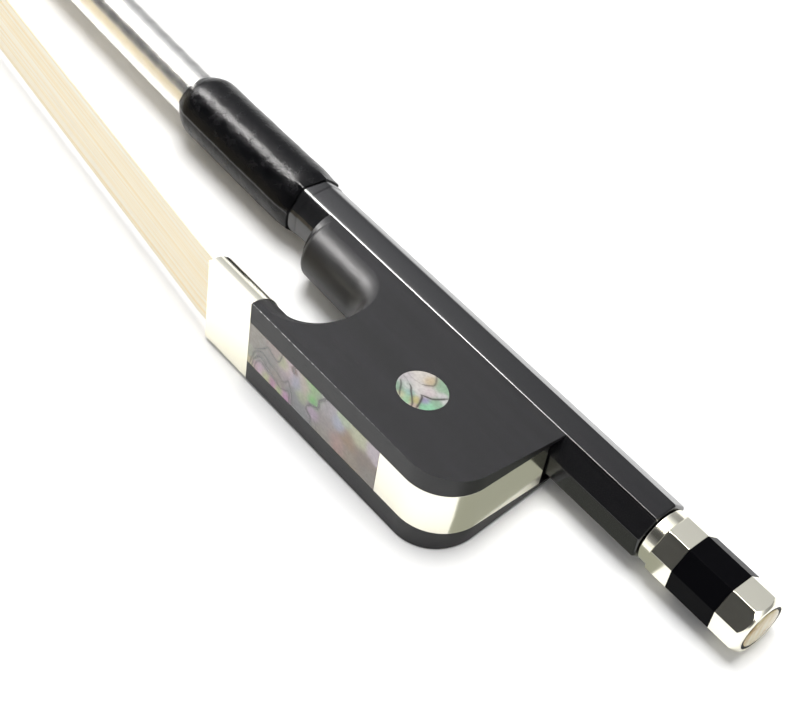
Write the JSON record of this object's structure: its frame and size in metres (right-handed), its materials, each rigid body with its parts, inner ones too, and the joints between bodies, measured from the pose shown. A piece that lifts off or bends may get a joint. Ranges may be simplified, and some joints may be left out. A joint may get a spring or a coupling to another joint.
{
  "type": "double bass bow",
  "caption": "French pattern double bass bow: octagonal handle, ebony frog with screw, eyelet and ferrule, leather grip, silver winding, cambered stick and hair.",
  "frame": {"origin": "middle of the underside of the box round the bow as it lies on one cheek", "axes": "+X from the button to the head along the straight handle, +Y from the stick to the hair, +Z out of the upper cheek"},
  "size_m": [0.7092, 0.0956, 0.0225],
  "materials": {
    "black_composite": "black composite, polished",
    "ebony": "black hardwood, satin",
    "nickel_silver": "nickel silver, polished",
    "abalone": "shell inlay, polished",
    "cream_pearl": "mother of pearl, polished",
    "black_leather": "thin black leather, slightly glossy",
    "silver_wire": "fine silver wire, close wound",
    "horsehair": "unbleached white horsehair",
    "brass": "turned brass",
    "steel": "turned steel",
    "maple": "bare maple",
    "waxed_thread": "waxed linen thread round hair ends",
    "face_plate_white": "white head plate, polished"
  },
  "bodies": {
    "stick": {"stick": "black_composite", "face_liner": "ebony", "face_plate": "face_plate_white", "tip_hair_plug": "maple", "tip_hair_knot": "waxed_thread", "leather_grip": "black_leather", "silver_winding": "silver_wire", "hair_ribbon": "horsehair"},
    "frog": {"frog_body": "ebony", "slide_base": "ebony", "pearl_slide": "abalone", "heel_plate": "nickel_silver", "eye_near": "abalone", "eye_far": "abalone", "ferrule": "nickel_silver", "ferrule_wedge": "maple", "frog_hair_knot": "waxed_thread", "frog_hair_plug": "maple", "eyelet": "brass"},
    "adjuster": {"adjusting_screw": "steel", "button_front_ring": "nickel_silver", "button_core": "ebony", "button_rear_ring": "nickel_silver", "button_eye": "cream_pearl"}
  },
  "joints": [
    {"name": "frog_slide", "type": "slide", "parent": "stick", "child": "frog", "axis": [1, 0, 0], "range_m": [-0.006, 0.0035], "deforming": ["hair_ribbon"]},
    {"name": "screw_turn", "type": "hinge", "parent": "stick", "child": "adjuster", "pos_m": [-0.32787, 0.01374, 0.01125], "axis": [1, 0, 0], "range_deg": [-1704, 2904]}
  ],
  "couplings": [
    {"joint": "screw_turn", "follows": "frog_slide", "rad_per_m": -8377.6}
  ]
}
